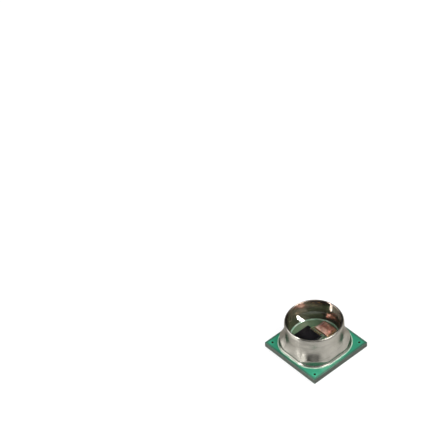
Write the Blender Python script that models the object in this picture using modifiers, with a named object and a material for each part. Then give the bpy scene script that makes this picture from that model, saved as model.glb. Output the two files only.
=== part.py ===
"""Surface-mount piezoresistive pressure sensor with an open, gel-filled steel port.

Metres, +Z up. The origin is at the middle of the board, on the plane of the solder lands.
X and Y run along the board's edges.
"""
import math

import bmesh
import bpy
from mathutils import Vector

MM = 0.001

# Clearance between pieces that touch on the real sensor
SEAT_GAP = 0.003 * MM

# Board, whose side follows from the port that stands on it and comes out at 5 mm
CORE_THICKNESS = 0.345 * MM
MASK_THICKNESS = 0.025 * MM

# Solder lands below the board, three to a side
LAND_THICKNESS = 0.035 * MM
LAND_LENGTH = 0.6 * MM
LAND_WIDTH = 0.5 * MM
LAND_CORNER = 0.06 * MM
LAND_INSET = 0.1 * MM
LAND_TO_BOARD_CORNER = 0.98 * MM
LANDS_PER_SIDE = 3
LAND_MASK_CLEARANCE = 0.05 * MM

# Plated holes near the board's corners
VIA_INSET = 0.38 * MM
VIA_DRILL_RADIUS = 0.085 * MM
VIA_PLATING = 0.03 * MM

# Steel port: a round tube that widens to a rounded square foot
PORT_OFFSET_X = -0.1 * MM
PORT_OFFSET_Y = 0.02 * MM
RIM_HEIGHT = 2.114 * MM
FOOT_TO_BOARD_EDGE = 0.209 * MM
FOOT_FLARE = 0.08 * MM
FOOT_FLARE_TURN = math.radians(60)
FOOT_EDGE_ROUND = 0.02 * MM
SKIRT_CORNER_RADIUS = 1.63 * MM
SKIRT_AT_SIDE = 0.02 * MM
SKIRT_AT_CORNER = 0.25 * MM
SHOULDER_STEP = 0.142 * MM
SHOULDER_RISE = 0.62 * MM
RIM_WALL = 0.176 * MM
RIM_ROUND = 0.07 * MM

# Adhesive bead under the port's foot
BEAD_FILM = 0.02 * MM
BEAD_OUTER_TOE = 0.085 * MM
BEAD_OUTER_CLIMB = 0.045 * MM
BEAD_INNER_TOE = 0.08 * MM
BEAD_INNER_CLIMB = 0.1 * MM
FILLET_HOLLOW_ACROSS = 0.4
FILLET_HOLLOW_UP = 0.3

# Silicon dies inside the port
PIECE_TO_BEAD = 0.12 * MM
DIE_GAP = 0.3 * MM
DIE_PAIR_OFFSET_Y = 0.26 * MM
ASIC_WIDTH = 1.3 * MM
ASIC_LENGTH = 0.9 * MM
ASIC_THICKNESS = 0.2 * MM
SENSE_SIDE = 1.4 * MM
SENSE_THICKNESS = 0.22 * MM
SENSE_BASE_THICKNESS = 0.18 * MM
SENSE_OFFSET_X = -0.37 * MM
DIAPHRAGM_SIDE = 0.62 * MM
DIAPHRAGM_THICKNESS = 0.025 * MM
ETCH_ANGLE = math.radians(54.7)
ATTACH_THICKNESS = 0.022 * MM
ATTACH_MARGIN = 0.04 * MM
ATTACH_CORNER = 0.05 * MM

# Gold bond wires and the fingers that they land on
WIRE_RADIUS = 0.0165 * MM
BALL_RADIUS = 0.036 * MM
BALL_HEIGHT = 0.022 * MM
BALL_NECK = 0.012 * MM
WEDGE_LENGTH = 0.05 * MM
PAD_INSET = 0.09 * MM
LOOP_PULL_UP = 0.45
LOOP_PULL_OVER = 0.1
LOOP_REACH = 0.55
SENSE_WIRES = 6
SENSE_WIRE_PITCH = 0.17 * MM
SENSE_WIRE_SHIFT = 0.12 * MM
SENSE_WIRE_LOOP = 0.09 * MM
LEAD_WIRES = 6
LEAD_PAD_PITCH = 0.13 * MM
LEAD_WIRE_LOOP = 0.12 * MM
FINGER_PITCH = 0.18 * MM
FINGER_ROW_OFFSET_Y = 0.55 * MM
FINGER_LENGTH = 0.28 * MM
FINGER_WIDTH = 0.11 * MM
FINGER_CORNER = 0.03 * MM
FINGER_THICKNESS = 0.02 * MM
WINDOW_MARGIN = 0.045 * MM

# Silicone gel
GEL_DEPTH = 0.76 * MM
GEL_CLEARANCE = 0.004 * MM
MENISCUS_RISE = 0.3 * MM
MENISCUS_LENGTH = 0.6 * MM
MENISCUS_POINTS = 5

# Facets
ROUND_STEPS = 64
GEL_STEPS = 48
HOLE_STEPS = 16
CORNER_STEPS = 3
ARC_STEPS = 4
SHOULDER_ROWS = 9
FLARE_ROWS = 3
WIRE_POINTS = 8
CUTTER_REACH = 0.1 * MM
MERGE_DISTANCE = 0.0001 * MM

# Levels, from the plane of the lands upwards
CORE_BOTTOM = LAND_THICKNESS + SEAT_GAP
CORE_TOP = CORE_BOTTOM + CORE_THICKNESS
BOARD_TOP = CORE_TOP + SEAT_GAP + MASK_THICKNESS
RIM_TOP = BOARD_TOP + RIM_HEIGHT
BEAD_BOTTOM = BOARD_TOP + SEAT_GAP
FOOT_BOTTOM = BEAD_BOTTOM + BEAD_FILM + SEAT_GAP
FLARE_RADIUS = FOOT_FLARE / (1.0 - math.cos(FOOT_FLARE_TURN))
FLARE_TOP = FOOT_EDGE_ROUND + FLARE_RADIUS * math.sin(FOOT_FLARE_TURN)
GEL_TOP = BOARD_TOP + GEL_DEPTH
FINGER_TOP = CORE_TOP + SEAT_GAP + FINGER_THICKNESS
ATTACH_TOP = BOARD_TOP + SEAT_GAP + ATTACH_THICKNESS
ASIC_BOTTOM = ATTACH_TOP + SEAT_GAP
ASIC_TOP = ASIC_BOTTOM + ASIC_THICKNESS
SENSE_BASE_BOTTOM = ATTACH_TOP + SEAT_GAP
SENSE_BOTTOM = SENSE_BASE_BOTTOM + SENSE_BASE_THICKNESS + SEAT_GAP
SENSE_TOP = SENSE_BOTTOM + SENSE_THICKNESS

# Plan places of the dies, from the port's axis
DIE_PAIR_LENGTH = ASIC_LENGTH + DIE_GAP + SENSE_SIDE
ASIC_FAR_Y = DIE_PAIR_LENGTH / 2 + DIE_PAIR_OFFSET_Y
SENSE_FAR_Y = DIE_PAIR_LENGTH / 2 - DIE_PAIR_OFFSET_Y
ASIC_X = PORT_OFFSET_X
ASIC_Y = PORT_OFFSET_Y + ASIC_FAR_Y - ASIC_LENGTH / 2
SENSE_X = PORT_OFFSET_X + SENSE_OFFSET_X
SENSE_Y = PORT_OFFSET_Y - SENSE_FAR_Y + SENSE_SIDE / 2

# Plan sizes of the port, which clears the dies' far corners, and of the board below it
ASIC_CORNER = math.hypot(ASIC_WIDTH / 2, ASIC_FAR_Y)
SENSE_CORNER = math.hypot(SENSE_SIDE / 2 + abs(SENSE_OFFSET_X), SENSE_FAR_Y)
CLEAR_RADIUS = max(ASIC_CORNER, SENSE_CORNER)
BORE_RADIUS = CLEAR_RADIUS + PIECE_TO_BEAD + BEAD_INNER_TOE + SEAT_GAP
PORT_RADIUS = BORE_RADIUS + RIM_WALL
SKIRT_HALF = PORT_RADIUS + SHOULDER_STEP
FOOT_HALF = SKIRT_HALF + FOOT_FLARE
BOARD_SIDE = 2 * (FOOT_HALF + FOOT_TO_BOARD_EDGE)

# Plan places of the fingers, worked out from the bore's wall
FINGER_ROW_HALF = (LEAD_WIRES - 1) / 2 * FINGER_PITCH + FINGER_WIDTH / 2
FINGER_ROW_REACH = FINGER_ROW_HALF + abs(FINGER_ROW_OFFSET_Y)
FINGER_END_X = PORT_OFFSET_X + math.sqrt(CLEAR_RADIUS ** 2 - FINGER_ROW_REACH ** 2)
FINGER_X = FINGER_END_X - FINGER_LENGTH / 2
FINGER_ROW_Y = PORT_OFFSET_Y + FINGER_ROW_OFFSET_Y


# Scene, collections and materials

def clear_scene():
    for old in list(bpy.data.objects):
        bpy.data.objects.remove(old, do_unlink=True)


def new_collection(name):
    collection = bpy.data.collections.new(name)
    bpy.context.scene.collection.children.link(collection)
    return collection


def new_material(name, colour, roughness, metallic=0.0):
    material = bpy.data.materials.new(name)
    material.use_nodes = True
    shader = material.node_tree.nodes["Principled BSDF"]
    shader.inputs["Base Color"].default_value = (*colour, 1.0)
    shader.inputs["Roughness"].default_value = roughness
    shader.inputs["Metallic"].default_value = metallic
    return material


def place(name, data, collection, location=(0.0, 0.0, 0.0), material=None, turn=0.0):
    piece = bpy.data.objects.new(name, data)
    piece.location = location
    piece.rotation_euler = (0.0, 0.0, turn)
    if material and not data.materials:
        data.materials.append(material)
    collection.objects.link(piece)
    return piece


def as_cutter(piece):
    piece.hide_render = True
    piece.display_type = "WIRE"
    return piece


def smooth_round_faces(piece):
    piece.data.shade_smooth()
    piece.data.set_sharp_from_angle(angle=math.radians(35))


# Outlines in the plane

def rectangle(width, length, centre=(0.0, 0.0)):
    x, y = centre
    corners = ((-0.5, -0.5), (0.5, -0.5), (0.5, 0.5), (-0.5, 0.5))
    return [(x + i * width, y + j * length) for i, j in corners]


def rounded_rectangle(width, length, radius, centre=(0.0, 0.0)):
    points = []
    inner_x, inner_y = width / 2 - radius, length / 2 - radius
    for quarter, (i, j) in enumerate(((1, 1), (-1, 1), (-1, -1), (1, -1))):
        for step in range(CORNER_STEPS + 1):
            angle = math.radians(90) * (quarter + step / CORNER_STEPS)
            points.append((centre[0] + i * inner_x + radius * math.cos(angle),
                           centre[1] + j * inner_y + radius * math.sin(angle)))
    return points


def circle(radius, centre):
    angles = [math.tau * step / HOLE_STEPS for step in range(HOLE_STEPS)]
    return [(centre[0] + radius * math.cos(a), centre[1] + radius * math.sin(a)) for a in angles]


def flat_curve(name, outlines, thickness):
    """A flat sheet: the first outline is its edge and the others are holes through it."""
    curve = bpy.data.curves.new(name, "CURVE")
    curve.dimensions = "2D"
    curve.fill_mode = "BOTH"
    curve.extrude = thickness / 2
    for outline in outlines:
        spline = curve.splines.new("POLY")
        spline.points.add(len(outline) - 1)
        for point, (x, y) in zip(spline.points, outline):
            point.co = (x, y, 0.0, 1.0)
        spline.use_cyclic_u = True
    return curve


def flat_piece(name, outlines, bottom, thickness, collection, material):
    curve = flat_curve(name, outlines, thickness)
    return place(name, curve, collection, (0.0, 0.0, bottom + thickness / 2), material)


def box(name, size, centre_xy, bottom, collection, material=None):
    mesh = bpy.data.meshes.new(name)
    cage = bmesh.new()
    bmesh.ops.create_cube(cage, size=1.0)
    bmesh.ops.scale(cage, vec=Vector(size), verts=cage.verts)
    cage.to_mesh(mesh)
    cage.free()
    return place(name, mesh, collection, (*centre_xy, bottom + size[2] / 2), material)


# Turned and lofted bodies

def turned(name, profile, steps, collection, location, material):
    """A profile of (radius, height) points that runs down the outer side, turned about Z."""
    mesh = bpy.data.meshes.new(name)
    mesh.from_pydata([(r, 0.0, z) for r, z in profile], [(i, i + 1) for i in range(len(profile) - 1)], [])
    piece = place(name, mesh, collection, location, material)
    screw = piece.modifiers.new("turn", "SCREW")
    screw.axis = "Z"
    screw.steps = steps
    screw.render_steps = steps
    screw.use_merge_vertices = True
    screw.merge_threshold = MERGE_DISTANCE
    screw.use_smooth_shade = True
    return piece


def ring_loft(name, section, collection, location, material):
    """A ring whose section is a closed loop of rows, each a function from an angle to (radius, height).

    The rows run up the outer side and down the inner side.
    """
    vertices = []
    for row in section:
        for step in range(ROUND_STEPS):
            angle = math.tau * step / ROUND_STEPS
            radius, height = row(angle)
            vertices.append((radius * math.cos(angle), radius * math.sin(angle), height))
    faces = []
    for row in range(len(section)):
        above = (row + 1) % len(section)
        for step in range(ROUND_STEPS):
            after = (step + 1) % ROUND_STEPS
            faces.append((row * ROUND_STEPS + step, row * ROUND_STEPS + after,
                          above * ROUND_STEPS + after, above * ROUND_STEPS + step))
    mesh = bpy.data.meshes.new(name)
    mesh.from_pydata(vertices, [], faces)
    piece = place(name, mesh, collection, location, material)
    smooth_round_faces(piece)
    return piece


def ease(share):
    """Smooth step from 0 to 1."""
    share = min(max(share, 0.0), 1.0)
    return share * share * (3.0 - 2.0 * share)


def square_radius(angle, half, corner):
    """Distance from the middle to the edge of a rounded square, at an angle."""
    folded = abs((angle + math.pi / 4) % (math.pi / 2) - math.pi / 4)
    inner = half - corner
    if math.tan(folded) * half <= inner:
        return half / math.cos(folded)
    across = math.cos(folded) + math.sin(folded)
    along = math.cos(folded) - math.sin(folded)
    return inner * across + math.sqrt(corner ** 2 - (inner * along) ** 2)


def skirt_radius(angle):
    return square_radius(angle, SKIRT_HALF, SKIRT_CORNER_RADIUS)


def foot_radius(angle, outset=0.0):
    return skirt_radius(angle) + FOOT_FLARE + outset


def shoulder_low(angle):
    """Height at which the skirt starts to draw in: low at the sides, high at the corners."""
    share = (skirt_radius(angle) - SKIRT_HALF) / (skirt_radius(math.pi / 4) - SKIRT_HALF)
    return FLARE_TOP + SKIRT_AT_SIDE + (SKIRT_AT_CORNER - SKIRT_AT_SIDE) * ease(share)


def level_row(radius, height):
    """A round row at one height."""
    return lambda angle: (radius, height)


def foot_row(outset, height):
    """A row that follows the foot's outline at one height."""
    return lambda angle: (foot_radius(angle, outset), height)


def flare_row(share):
    """A row on the foot's hollow arc, from its edge up to the skirt."""
    turn = FOOT_FLARE_TURN * (1.0 - share)
    return lambda angle: (skirt_radius(angle) + FLARE_RADIUS * (1.0 - math.cos(turn)),
                          FLARE_TOP - FLARE_RADIUS * math.sin(turn))


def shoulder_row(share):
    """A row on the shoulder, which draws the skirt in to the round tube."""
    def row(angle):
        step = skirt_radius(angle) - PORT_RADIUS
        return skirt_radius(angle) - step * ease(share), shoulder_low(angle) + SHOULDER_RISE * share
    return row


# Sub-parts

def lands_in_plan():
    """Centre and turn of each land, side by side round the board."""
    reach = BOARD_SIDE / 2 - LAND_INSET - LAND_LENGTH / 2
    row_half = BOARD_SIDE / 2 - LAND_TO_BOARD_CORNER - LAND_WIDTH / 2
    for side in range(4):
        turn = math.radians(90) * side
        for place_in_row in range(LANDS_PER_SIDE):
            along = row_half * (2 * place_in_row / (LANDS_PER_SIDE - 1) - 1)
            yield (reach * math.cos(turn) - along * math.sin(turn),
                   reach * math.sin(turn) + along * math.cos(turn), turn)


def vias_in_plan():
    reach = BOARD_SIDE / 2 - VIA_INSET
    return [(i * reach, j * reach) for i, j in ((1, -1), (1, 1), (-1, 1), (-1, -1))]


def fingers_in_plan():
    first = FINGER_ROW_Y - (LEAD_WIRES - 1) / 2 * FINGER_PITCH
    return [(FINGER_X, first + FINGER_PITCH * index) for index in range(LEAD_WIRES)]


def make_board(parts, materials):
    edge = rectangle(BOARD_SIDE, BOARD_SIDE)
    barrel_holes = [circle(VIA_DRILL_RADIUS + VIA_PLATING + SEAT_GAP, via) for via in vias_in_plan()]
    drill_holes = [circle(VIA_DRILL_RADIUS + SEAT_GAP, via) for via in vias_in_plan()]
    window = rounded_rectangle(FINGER_LENGTH + 2 * WINDOW_MARGIN,
                               2 * FINGER_ROW_HALF + 2 * WINDOW_MARGIN,
                               FINGER_CORNER + WINDOW_MARGIN, (FINGER_X, FINGER_ROW_Y))
    land_holes = []
    for x, y, turn in lands_in_plan():
        across = LAND_LENGTH + 2 * LAND_MASK_CLEARANCE
        along = LAND_WIDTH + 2 * LAND_MASK_CLEARANCE
        if abs(math.sin(turn)) > abs(math.cos(turn)):
            across, along = along, across
        land_holes.append(rounded_rectangle(across, along, LAND_CORNER + LAND_MASK_CLEARANCE, (x, y)))
    flat_piece("substrate_core", [edge] + barrel_holes, CORE_BOTTOM, CORE_THICKNESS,
               parts, materials["laminate"])
    flat_piece("solder_mask_top", [edge, window] + drill_holes, CORE_TOP + SEAT_GAP, MASK_THICKNESS,
               parts, materials["mask"])
    flat_piece("solder_mask_bottom", [edge] + land_holes + drill_holes,
               CORE_BOTTOM - SEAT_GAP - MASK_THICKNESS, MASK_THICKNESS, parts, materials["mask"])


def make_lands(parts, materials):
    outline = rounded_rectangle(LAND_LENGTH, LAND_WIDTH, LAND_CORNER)
    sheet = flat_curve("land", [outline], LAND_THICKNESS)
    for number, (x, y, turn) in enumerate(lands_in_plan(), start=1):
        place(f"land_{number:02d}", sheet, parts, (x, y, LAND_THICKNESS / 2), materials["gold"], turn)


def make_via_barrels(parts, materials):
    inner, outer = VIA_DRILL_RADIUS, VIA_DRILL_RADIUS + VIA_PLATING
    section = [(inner, CORE_TOP), (outer, CORE_TOP), (outer, CORE_BOTTOM), (inner, CORE_BOTTOM),
               (inner, CORE_TOP)]
    for number, (x, y) in enumerate(vias_in_plan(), start=1):
        turned(f"via_barrel_{number}", section, HOLE_STEPS, parts, (x, y, 0.0), materials["gold"])


def make_fingers(parts, materials):
    outline = rounded_rectangle(FINGER_LENGTH, FINGER_WIDTH, FINGER_CORNER)
    sheet = flat_curve("bond_finger", [outline], FINGER_THICKNESS)
    for number, (x, y) in enumerate(fingers_in_plan(), start=1):
        place(f"bond_finger_{number}", sheet, parts, (x, y, FINGER_TOP - FINGER_THICKNESS / 2),
              materials["gold"])


def port_section():
    """Rows of the port's wall: up the outside, over the round rim and down the bore."""
    top = RIM_TOP - FOOT_BOTTOM
    rows = [foot_row(-FOOT_EDGE_ROUND, 0.0), foot_row(0.0, FOOT_EDGE_ROUND)]
    rows += [flare_row((step + 1) / FLARE_ROWS) for step in range(FLARE_ROWS)]
    rows += [shoulder_row(step / (SHOULDER_ROWS - 1)) for step in range(SHOULDER_ROWS)]
    for centre, first in ((PORT_RADIUS - RIM_ROUND, 0.0), (BORE_RADIUS + RIM_ROUND, math.pi / 2)):
        for step in range(ARC_STEPS + 1):
            angle = first + math.pi / 2 * step / ARC_STEPS
            rows.append(level_row(centre + RIM_ROUND * math.cos(angle),
                                  top - RIM_ROUND + RIM_ROUND * math.sin(angle)))
    rows.append(level_row(BORE_RADIUS, 0.0))
    return rows


def make_port(parts, materials):
    ring_loft("port_ring", port_section(), parts, (PORT_OFFSET_X, PORT_OFFSET_Y, FOOT_BOTTOM),
              materials["steel"])


def make_bead(parts, materials):
    """The adhesive that carries the port's foot, with a hollow fillet on each side."""
    bore = BORE_RADIUS - SEAT_GAP
    rows = [foot_row(BEAD_OUTER_TOE, 0.0),
            foot_row(BEAD_OUTER_TOE * FILLET_HOLLOW_ACROSS, BEAD_OUTER_CLIMB * FILLET_HOLLOW_UP),
            foot_row(SEAT_GAP, BEAD_OUTER_CLIMB),
            foot_row(SEAT_GAP, BEAD_FILM),
            level_row(bore, BEAD_FILM),
            level_row(bore, BEAD_INNER_CLIMB),
            level_row(bore - BEAD_INNER_TOE * FILLET_HOLLOW_ACROSS, BEAD_INNER_CLIMB * FILLET_HOLLOW_UP),
            level_row(bore - BEAD_INNER_TOE, 0.0)]
    ring_loft("ring_adhesive", rows, parts, (PORT_OFFSET_X, PORT_OFFSET_Y, BEAD_BOTTOM),
              materials["adhesive"])


def make_attach(name, width, length, centre, parts, materials):
    outline = rounded_rectangle(width + 2 * ATTACH_MARGIN, length + 2 * ATTACH_MARGIN, ATTACH_CORNER, centre)
    flat_piece(name, [outline], BOARD_TOP + SEAT_GAP, ATTACH_THICKNESS, parts, materials["die_attach"])


def make_dies(parts, cutters, materials):
    make_attach("sense_adhesive", SENSE_SIDE, SENSE_SIDE, (SENSE_X, SENSE_Y), parts, materials)
    make_attach("asic_adhesive", ASIC_WIDTH, ASIC_LENGTH, (ASIC_X, ASIC_Y), parts, materials)
    box("sense_base", (SENSE_SIDE, SENSE_SIDE, SENSE_BASE_THICKNESS), (SENSE_X, SENSE_Y),
        SENSE_BASE_BOTTOM, parts, materials["wafer"])
    box("asic_die", (ASIC_WIDTH, ASIC_LENGTH, ASIC_THICKNESS), (ASIC_X, ASIC_Y),
        ASIC_BOTTOM, parts, materials["asic"])
    die = box("sense_die", (SENSE_SIDE, SENSE_SIDE, SENSE_THICKNESS), (SENSE_X, SENSE_Y),
              SENSE_BOTTOM, parts, materials["silicon"])
    etch = die.modifiers.new("etched_cavity", "BOOLEAN")
    etch.operation = "DIFFERENCE"
    etch.object = make_etch_cutter(cutters)


def make_etch_cutter(cutters):
    """The pit that leaves the diaphragm: four walls at silicon's etch angle, open below."""
    roof = SENSE_TOP - DIAPHRAGM_THICKNESS
    floor = SENSE_BOTTOM - CUTTER_REACH
    mouth = DIAPHRAGM_SIDE + 2 * (roof - floor) / math.tan(ETCH_ANGLE)
    mesh = bpy.data.meshes.new("etch_cutter")
    cage = bmesh.new()
    bmesh.ops.create_cone(cage, cap_ends=True, segments=4, radius1=mouth / math.sqrt(2),
                          radius2=DIAPHRAGM_SIDE / math.sqrt(2), depth=roof - floor)
    cage.to_mesh(mesh)
    cage.free()
    location = (SENSE_X, SENSE_Y, (roof + floor) / 2)
    return as_cutter(place("etch_cutter", mesh, cutters, location, turn=math.radians(45)))


# Bond wires

def bezier(points, share):
    """A point on the Bezier curve of these control points."""
    while len(points) > 1:
        points = [a.lerp(b, share) for a, b in zip(points, points[1:])]
    return points[0]


def wire_route(start, end, loop):
    """Points and radii of a wire: a ball on the first pad, a loop, and a wedge on the second."""
    up = Vector((0.0, 0.0, 1.0))
    level = Vector((end.x - start.x, end.y - start.y, 0.0))
    forward = level.normalized()
    neck = start + up * (BALL_HEIGHT + BALL_NECK)
    heel = end - forward * WEDGE_LENGTH
    rise = start + up * loop * (1.0 + LOOP_PULL_UP)
    fall = start + level * LOOP_REACH + up * loop * (1.0 + LOOP_PULL_OVER)
    route = [(start, BALL_RADIUS), (start + up * BALL_HEIGHT, BALL_RADIUS)]
    for index in range(WIRE_POINTS):
        route.append((bezier([neck, rise, fall, heel], index / (WIRE_POINTS - 1)), WIRE_RADIUS))
    route.append((end, WIRE_RADIUS))
    return route


def wire_curve(name, route, outset, resolution):
    curve = bpy.data.curves.new(name, "CURVE")
    curve.dimensions = "3D"
    curve.bevel_depth = WIRE_RADIUS
    curve.bevel_resolution = resolution
    curve.use_fill_caps = True
    curve.twist_mode = "MINIMUM"
    spline = curve.splines.new("POLY")
    spline.points.add(len(route) - 1)
    for point, (position, radius) in zip(spline.points, route):
        point.co = (*position, 1.0)
        point.radius = (radius + outset) / WIRE_RADIUS
    return curve


def sense_wire_routes():
    for index in range(SENSE_WIRES):
        x = SENSE_X + SENSE_WIRE_SHIFT + (index - (SENSE_WIRES - 1) / 2) * SENSE_WIRE_PITCH
        start = Vector((x, SENSE_Y + SENSE_SIDE / 2 - PAD_INSET, SENSE_TOP + SEAT_GAP))
        end = Vector((x, ASIC_Y - ASIC_LENGTH / 2 + PAD_INSET, ASIC_TOP + SEAT_GAP + WIRE_RADIUS))
        yield f"sense_wire_{index + 1}", wire_route(start, end, SENSE_WIRE_LOOP)


def lead_wire_routes():
    for index, (finger_x, finger_y) in enumerate(fingers_in_plan()):
        pad_y = ASIC_Y + (index - (LEAD_WIRES - 1) / 2) * LEAD_PAD_PITCH
        start = Vector((ASIC_X + ASIC_WIDTH / 2 - PAD_INSET, pad_y, ASIC_TOP + SEAT_GAP))
        end = Vector((finger_x, finger_y, FINGER_TOP + SEAT_GAP + WIRE_RADIUS))
        yield f"lead_wire_{index + 1}", wire_route(start, end, LEAD_WIRE_LOOP)


def wire_routes():
    return list(sense_wire_routes()) + list(lead_wire_routes())


def make_wires(parts, materials):
    for name, route in wire_routes():
        place(name, wire_curve(name, route, 0.0, 2), parts, material=materials["gold"])


# Gel

def gel_profile():
    """The gel's outline from the middle of its surface, over the meniscus and down to the board."""
    outer = BORE_RADIUS - SEAT_GAP
    profile = []
    for index in range(MENISCUS_POINTS):
        radius = outer * index / (MENISCUS_POINTS - 1)
        rise = MENISCUS_RISE * math.exp((radius - outer) / MENISCUS_LENGTH)
        profile.append((radius, GEL_TOP + rise))
    bottom = BEAD_BOTTOM + SEAT_GAP
    profile.append((outer, bottom + BEAD_INNER_CLIMB))
    profile.append((outer - BEAD_INNER_TOE - SEAT_GAP, bottom))
    profile.append((0.0, bottom))
    return profile


def solid_from_curve(name, curve, collection):
    """A closed mesh object with the curve's shape, because a curve can't cut."""
    source = place(name + "_curve", curve, collection)
    depsgraph = bpy.context.evaluated_depsgraph_get()
    mesh = bpy.data.meshes.new_from_object(source.evaluated_get(depsgraph))
    cage = bmesh.new()
    cage.from_mesh(mesh)
    bmesh.ops.remove_doubles(cage, verts=cage.verts, dist=MERGE_DISTANCE)
    cage.to_mesh(mesh)
    cage.free()
    solid = place(name, mesh, collection)
    solid.matrix_world = source.matrix_world
    bpy.data.objects.remove(source, do_unlink=True)
    return as_cutter(solid)


def gel_cutters(cutters):
    """Room in the gel for the dies with their films, and for each wire."""
    floor = BOARD_TOP - CUTTER_REACH
    rooms = (("sense_room", SENSE_SIDE, SENSE_SIDE, (SENSE_X, SENSE_Y), SENSE_TOP),
             ("asic_room", ASIC_WIDTH, ASIC_LENGTH, (ASIC_X, ASIC_Y), ASIC_TOP))
    for name, width, length, centre, top in rooms:
        margin = 2 * GEL_CLEARANCE
        film_margin = margin + 2 * ATTACH_MARGIN
        yield as_cutter(box(name, (width + margin, length + margin, top + GEL_CLEARANCE - floor),
                            centre, floor, cutters))
        yield as_cutter(box(name + "_film", (width + film_margin, length + film_margin,
                                             ATTACH_TOP + GEL_CLEARANCE - floor), centre, floor, cutters))
    for name, route in wire_routes():
        start, radius = route[0]
        sunk = [(start - Vector((0.0, 0.0, BALL_HEIGHT)), radius)] + route[1:]
        yield solid_from_curve(name + "_room", wire_curve(name + "_room", sunk, GEL_CLEARANCE, 1), cutters)


def make_gel(parts, cutters, materials):
    gel = turned("gel", gel_profile(), GEL_STEPS, parts, (PORT_OFFSET_X, PORT_OFFSET_Y, 0.0),
                 materials["gel"])
    for cutter in gel_cutters(cutters):
        cut = gel.modifiers.new(cutter.name, "BOOLEAN")
        cut.operation = "DIFFERENCE"
        cut.object = cutter


def main():
    clear_scene()
    parts = new_collection("pressure_sensor")
    cutters = new_collection("cutters")
    materials = {
        "laminate": new_material("laminate", (0.045, 0.06, 0.045), 0.75),
        "mask": new_material("solder_mask", (0.02, 0.25, 0.13), 0.25),
        "gold": new_material("gold_plating", (0.83, 0.6, 0.26), 0.3, 1.0),
        "steel": new_material("drawn_steel", (0.5, 0.48, 0.44), 0.3, 1.0),
        "adhesive": new_material("pale_adhesive", (0.5, 0.6, 0.5), 0.35),
        "die_attach": new_material("die_attach", (0.35, 0.33, 0.28), 0.5),
        "silicon": new_material("dark_silicon", (0.012, 0.012, 0.016), 0.12),
        "wafer": new_material("constraint_wafer", (0.03, 0.03, 0.035), 0.3),
        "asic": new_material("circuit_die", (0.3, 0.15, 0.12), 0.2, 0.6),
        "gel": new_material("clear_gel", (0.85, 0.88, 0.85), 0.05),
    }
    make_board(parts, materials)
    make_lands(parts, materials)
    make_via_barrels(parts, materials)
    make_fingers(parts, materials)
    make_port(parts, materials)
    make_bead(parts, materials)
    make_dies(parts, cutters, materials)
    make_wires(parts, materials)
    make_gel(parts, cutters, materials)


main()
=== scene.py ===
"""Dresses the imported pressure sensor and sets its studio.

Everything is in metres, +Z up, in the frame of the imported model. Sizes below are written in
millimetres times MM. Node trees and the tables of the studio work in millimetres and degrees.
"""
import math
from collections import namedtuple

import bmesh
import bpy
from bpy.props import FloatProperty, FloatVectorProperty, PointerProperty
from mathutils import Matrix, Vector


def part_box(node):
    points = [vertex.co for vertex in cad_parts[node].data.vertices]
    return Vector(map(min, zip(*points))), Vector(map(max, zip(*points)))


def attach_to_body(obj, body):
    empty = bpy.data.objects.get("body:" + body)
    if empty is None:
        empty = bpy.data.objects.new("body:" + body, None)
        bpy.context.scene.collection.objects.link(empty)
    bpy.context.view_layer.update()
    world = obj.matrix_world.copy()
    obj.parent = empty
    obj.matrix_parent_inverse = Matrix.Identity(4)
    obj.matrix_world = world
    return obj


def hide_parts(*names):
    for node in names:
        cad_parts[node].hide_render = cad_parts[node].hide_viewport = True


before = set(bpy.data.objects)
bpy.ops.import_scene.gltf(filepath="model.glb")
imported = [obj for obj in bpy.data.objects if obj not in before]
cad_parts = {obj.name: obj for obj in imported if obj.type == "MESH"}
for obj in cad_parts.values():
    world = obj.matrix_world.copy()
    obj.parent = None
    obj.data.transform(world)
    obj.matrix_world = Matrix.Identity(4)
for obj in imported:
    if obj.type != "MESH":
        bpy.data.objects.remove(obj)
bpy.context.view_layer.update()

bl_info = {
    "name": "Gel-filled pressure sensor",
    "version": (1, 0, 0),
    "blender": (4, 5, 0),
    "location": "3D View > Sidebar > Pressure sensor",
    "description": "Builds the visible finish of a surface-mount pressure sensor and its studio",
    "category": "Object",
}

MM = 0.001
TO_MM = 1000.0

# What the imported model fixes
RING_LOW, RING_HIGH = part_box("port_ring")
BEAD_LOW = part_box("ring_adhesive")[0]
GEL_LOW, GEL_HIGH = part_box("gel")
MASK_LOW, MASK_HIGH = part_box("solder_mask_top")
CORE_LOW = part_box("substrate_core")[0]
SENSE_LOW, SENSE_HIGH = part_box("sense_die")
ASIC_LOW, ASIC_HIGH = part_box("asic_die")
LANDS, VIAS, FINGERS, SENSE_WIRES, LEAD_WIRES = (
    sorted(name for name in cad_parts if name.startswith(start))
    for start in ("land_", "via_barrel_", "bond_finger_", "sense_wire_", "lead_wire_"))

SEAT_GAP = 0.003 * MM
PORT_CENTRE = (RING_LOW + RING_HIGH) / 2
BORE_RADIUS = (GEL_HIGH.x - GEL_LOW.x) / 2 + SEAT_GAP
BOARD_HALF = (MASK_HIGH.x - MASK_LOW.x) / 2
UP = Vector((0.0, 0.0, 1.0))


def middle_of(node):
    low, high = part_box(node)
    return (low + high) / 2


# Settings a user can change

def amount(name, description, value, **kind):
    return FloatProperty(name=name, description=description, default=value, **kind)


def length(name, description, millimetres):
    return amount(name, description, millimetres * MM, unit="LENGTH", precision=5, min=0.0)


def share(name, description, value):
    return amount(name, description, value, subtype="FACTOR", min=0.0, max=1.0)


def angle(name, description, degrees):
    return amount(name, description, math.radians(degrees), subtype="ANGLE", unit="ROTATION")


def colour(name, place, value):
    return FloatVectorProperty(name=name, description=f"Colour of {place}", default=value, subtype="COLOR",
                               size=3, min=0.0, max=1.0)


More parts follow.
